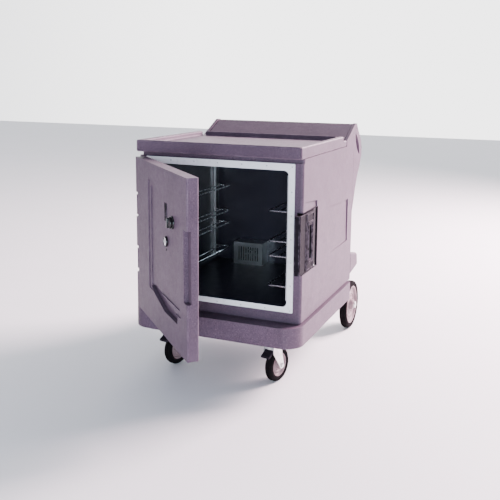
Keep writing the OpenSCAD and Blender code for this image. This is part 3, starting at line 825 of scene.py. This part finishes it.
def vent_knob():
    """The round vent: a flanged base on the door and a glossy turning knob with a grip bar."""
    low, high = shut_box("vent_base")
    radius = (high.x - low.x) / 2
    x, z = (low.x + high.x) / 2, (low.z + high.z) / 2
    knob_low, knob_high = shut_box("vent_knob")
    grip, turn_r = 0.012, 0.022
    base_proud = 0.0064
    face = knob_high.y
    base_back = face + base_proud
    out = (0, -1, 0)
    base = Form()
    thick = base_back - face - 0.0004
    base.lathe([(0.0, 0.0), (radius, 0.0), (radius, thick * 0.4), (radius * 0.95, thick * 0.85),
                (radius * 0.88, thick), (0.0, thick)], (x, base_back, z), out, 64)
    for k in range(12):
        spin = Matrix.Rotation(2 * math.pi * k / 12, 4, "Y")
        centre = Vector((x, base_back - thick, z)) + spin @ Vector((0, 0, radius * 0.92))
        half = Vector((0.0012, 0.0008, 0.0018))
        base.box(centre - half, centre + half, 0.0004, turn=spin)
    base.rod((x, base_back - 0.001, z), (x, high.y, z), 0.005, 24)
    base.move(door_turn).piece("vent_flange", "black_gloss", "door", "vent_base")
    knob = Form()
    deep = face - knob_low.y
    knob.lathe([(0.0, 0.0), (turn_r * 0.97, 0.0), (turn_r, 0.001), (turn_r, deep * 0.36),
                (turn_r * 0.95, deep * 0.50), (turn_r * 0.82, deep * 0.60), (turn_r * 0.5, deep * 0.66),
                (0.0, deep * 0.68)], (x, face, z), out, 64)
    knob.box((x - grip * 0.45, knob_low.y, z - turn_r * 0.9),
             (x + grip * 0.45, face - deep * 0.3, z + turn_r * 0.9), 0.003, 4)
    knob.move(door_turn).piece("vent_turn_knob", "black_gloss", "vent_dial", "vent_knob")


def door_seal():
    """A bulb seal on a flat foot, bent round the door liner."""
    low, high = shut_box("door_gasket")
    width, thick, foot_r, bend = 0.007, high.y - low.y, 0.0011, 0.028
    bulb = (thick - 0.0012) / 2
    inset = width / 2
    y = high.y - bulb
    corners = [(low.x + inset, y, low.z + inset), (high.x - inset, y, low.z + inset),
               (high.x - inset, y, high.z - inset), (low.x + inset, y, high.z - inset)]
    seal = gather(Form(), wire(corners, bulb, bend, closed=True))
    foot = [(px, low.y + 0.0012, pz) for px, _, pz in corners]
    seal = gather(seal, wire(foot, foot_r, bend, closed=True))
    for shift in (-0.0022, 0.0022):
        lane = []
        for px, py, pz in foot:
            sx = 1 if px > (low.x + high.x) / 2 else -1
            sz = 1 if pz > (low.z + high.z) / 2 else -1
            lane.append((px + sx * shift, py, pz + sz * shift))
        seal = gather(seal, wire(lane, foot_r, bend, closed=True))
    seal.move(door_turn).piece("door_bulb_seal", "gasket_rubber", "door", "door_gasket")


# ---------- racks, screws and fittings ----------

def pan_racks():
    """Bent wire ledges: an outer loop hooked into the posts and a straight runner inside it."""
    for side in ("left", "right"):
        rack = Form()
        node = "pan_ledges_" + side
        for low, high in solids(node):
            radius = (high.z - low.z) / 2
            z = (low.z + high.z) / 2
            y0, y1 = low.y + radius, high.y - radius
            if low.x > 0:
                post, lip = high.x, low.x + radius
            else:
                post, lip = low.x, high.x - radius
            loop = [(post, y0, z), (lip, y0, z), (lip, y1, z), (post, y1, z)]
            rack = gather(rack, wire(loop, radius, 0.016))
            runner = lip + (post - lip) * 0.55
            rack = gather(rack, wire([(runner, y0, z), (runner, y1, z)], radius * 0.9, 0.01))
        rack.piece("wire_rack_" + side, "chrome_wire", "cabinet", node)


def screw_head(form, centre, out, radius, height):
    """A domed head with a cross cut shown as four raised quarters."""
    matrix = Matrix.Translation(Vector(centre)) @ rotation_to(out)
    dome = [(0.0, 0.0), (radius, 0.0), (radius, height * 0.25), (radius * 0.86, height * 0.62),
            (radius * 0.55, height * 0.82), (0.0, height * 0.86)]
    form.lathe(dome, centre, out, 28)
    for k in range(4):
        angle = math.pi / 4 + k * math.pi / 2
        reach = radius * 0.42
        spot = matrix @ Vector((reach * math.cos(angle), reach * math.sin(angle), height * 0.84))
        half = Vector((radius, radius, radius)) * 0.2
        half[max(range(3), key=lambda axis: abs(out[axis]))] = height * 0.14
        form.box(spot - half, spot + half, height * 0.08)


def screws(node, out, piece_name, slot):
    """A domed head on each solid of a node of screws."""
    form = Form()
    axis = max(range(3), key=lambda k: abs(out[k]))
    for low, high in solids(node):
        centre = (low + high) / 2
        centre[axis] = high[axis] if out[axis] < 0 else low[axis]
        flat = [k for k in range(3) if k != axis]
        radius = (high[flat[0]] - low[flat[0]]) / 2
        screw_head(form, centre, out, radius, high[axis] - low[axis])
    form.piece(piece_name, slot, "cabinet", node)


def thermostat():
    """A fluted control knob with a pointer line."""
    low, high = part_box("thermostat_knob")
    centre = Vector(joints["thermostat_turn"]["pos_m"])
    radius = (high.x - low.x) / 2
    depth = high.y - low.y
    knob = Form()
    out = (0, 1, 0)
    start = (centre.x, low.y, centre.z)
    knob.lathe([(0.0, 0.0), (radius * 0.2, 0.0), (radius * 0.2, depth * 0.16), (radius, depth * 0.16),
                (radius, depth * 0.3), (radius * 0.84, depth * 0.42), (0.0, depth * 0.42)], start, out, 60)
    flutes = 18
    outline = []
    for k in range(flutes * 6):
        turn = 2 * math.pi * k / (flutes * 6)
        reach = radius * (0.80 + 0.035 * math.cos(flutes * turn))
        outline.append((reach * math.cos(turn), reach * math.sin(turn)))
    place = Matrix.Translation(Vector(start)) @ rotation_to(out)
    knob.prism(outline, depth * 0.41, depth * 0.93, place)
    cap = [(0.0, depth * 0.92), (radius * 0.72, depth * 0.92), (radius * 0.68, depth * 0.99), (0.0, depth)]
    knob.lathe(cap, start, out, 48)
    knob.piece("thermostat_grip", "black_gloss", "thermostat", "thermostat_knob")
    line = Form()
    line.box((centre.x - 0.0009, high.y - 0.0006, centre.z + 0.003),
             (centre.x + 0.0009, high.y - 0.00005, centre.z + radius * 0.66), 0.0002)
    line.piece("thermostat_pointer", "trim_white", "thermostat")


def lamp():
    """The pilot lamp's domed lens."""
    low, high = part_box("pilot_lamp")
    centre = (low + high) / 2
    radius, tall = (high.x - low.x) / 2, high.y - low.y
    outline = [(0.0, 0.0), (radius, 0.0), (radius, tall * 0.3)]
    for k in range(1, 8):
        turn = k / 8 * math.pi / 2
        outline.append((radius * 0.9 * math.cos(turn), tall * (0.3 + 0.7 * math.sin(turn))))
    outline.append((0.0, tall))
    Form().lathe(outline, (centre.x, low.y, centre.z), (0, 1, 0), 40).piece(
        "pilot_lamp_dome", "lamp_lens", "cabinet", "pilot_lamp")


# ---------- wheels ----------

def tyre_outline(inner, outer, half, round_edge, grooves):
    """Half-round shoulders and a tread with shallow grooves round it."""
    steps, crown, cut, lip = 6, 0.0006, 0.0016, 0.0011
    shoulder = []
    for k in range(steps + 1):
        turn = k / steps * math.pi / 2
        reach = outer - round_edge * (1 - math.sin(turn)) - crown
        shoulder.append((reach, half - round_edge * (1 - math.cos(turn))))
    outline = [(inner, -half * 0.86), (inner + (outer - inner) * 0.35, -half)]
    outline += [(r, -h) for r, h in shoulder]
    for place in grooves:
        outline += [(outer, place - lip * 1.6), (outer - cut, place - lip), (outer - cut, place + lip),
                    (outer, place + lip * 1.6)]
    outline += shoulder[::-1]
    outline += [(inner + (outer - inner) * 0.35, half), (inner, half * 0.86)]
    return outline


def hub_outline(bore, boss, web, bead, rim, half, web_half):
    """One side of a hub from its bore out to its rim, mirrored for the other side."""
    lip = 0.0012
    side = [(bore, half - lip), (bore + lip, half), (boss - lip, half), (boss, half - lip * 2),
            (boss + 0.002, web_half + 0.003), (boss + 0.006, web_half), (bead - 0.006, web_half),
            (bead - 0.003, web_half + 0.0032), (bead + 0.003, web_half + 0.0032), (bead + 0.006, web_half),
            (web - 0.004, web_half), (web, web_half + 0.004), (web + 0.0015, half * 0.62), (rim, half * 0.66)]
    return side + [(r, -h) for r, h in side[::-1]]


CASTOR = {"bore": 0.00605, "boss": 0.017, "bead": 0.034, "web": 0.046, "inner": 0.052, "outer": 0.076,
          "half": 0.018, "hub_half": 0.022, "web_half": 0.005, "shoulder": 0.011, "nubs": 6}
REAR = {"bore": 0.01005, "boss": 0.027, "bead": 0.063, "web": 0.090, "inner": 0.100, "outer": 0.127,
        "half": 0.020, "hub_half": 0.025, "web_half": 0.006, "shoulder": 0.012, "nubs": 8}


def wheel(name, joint, body, hub_node, tyre_node, sizes):
    """A moulded disc with pegs round its boss, and a grooved tyre on it."""
    bore, boss, bead, web, inner, outer, half, hub_half, web_half, shoulder, nubs = sizes.values()
    centre, axis = Vector(joints[joint]["pos_m"]), Vector(joints[joint]["axis"])
    tread = tyre_outline(inner, outer, half, shoulder, (-half * 0.3, half * 0.3))
    Form().lathe(tread, centre, axis, 112).piece(name + "_tread", "tyre_rubber", body, tyre_node, crease=30)
    hub = Form()
    hub.lathe(hub_outline(bore, boss, web, bead, inner - 0.0003, hub_half, web_half), centre, axis, 96)
    turn = rotation_to(axis)
    for k in range(nubs):
        angle = 2 * math.pi * (k + 0.5) / nubs
        for side in (-1, 1):
            reach = (boss + bead) / 2
            spot = Vector((reach * math.cos(angle), reach * math.sin(angle), 0))
            start = Matrix.Translation(centre) @ turn @ (spot + Vector((0, 0, side * (web_half - 0.001))))
            end = Matrix.Translation(centre) @ turn @ (spot + Vector((0, 0, side * (web_half + 0.0022))))
            hub.rod(start, end, 0.0042, 16, 0.0008)
    hub.piece(name + "_disc", "wheel_disc", body, hub_node)


def wheels():
    """Both castor wheels and both rear wheels."""
    for side in ("left", "right"):
        wheel("castor_" + side, "caster_spin_" + side, "caster_wheel_" + side, "caster_hub_" + side,
              "caster_tyre_" + side, CASTOR)
        wheel("rear_" + side, "rear_spin_" + side, "rear_wheel_" + side, "rear_hub_" + side,
              "rear_tyre_" + side, REAR)


def everything_else():
    """The remaining metal and plastic fittings, each with its small edge rounding."""
    fine, sheet = 0.0005, 0.0008
    widths = {"cabinet_liner": 0.0012, "foam_core": sheet, "opening_trim": 0.0010, "hinge_rod": fine,
              "rack_posts": 0.0012, "fan_cover": 0, "heater_element": 0, "fan_motor": 0.002,
              "fan_blade": fine, "service_panel": fine, "control_plate": 0.0008, "power_inlet": 0.001,
              "power_switch": 0.0008, "latch_pin": fine, "latch_spring": 0, "door_foam": sheet,
              "door_bushes": fine, "caster_plates": 0.0008, "caster_bolts": fine, "axle_brackets": 0.001,
              "rear_axle": 0.001, "axle_caps": 0.002, "caster_axle_left": fine, "caster_axle_right": fine}
    for node, width in widths.items():
        soft_node(node, width, 2)


mouldings()
door_slot()
door_gauge()
vent_knob()
door_seal()
pan_racks()
screws("trim_screws", (0, -1, 0), "trim_screw_heads", "stainless")
screws("panel_screws", (0, 1, 0), "panel_screw_heads", "stainless")
thermostat()
lamp()
wheels()
everything_else()

for node, solid in frame["nodes"].items():
    solid.data.materials.clear()
    solid.data.materials.append(finishes[slot_of[node]].material)
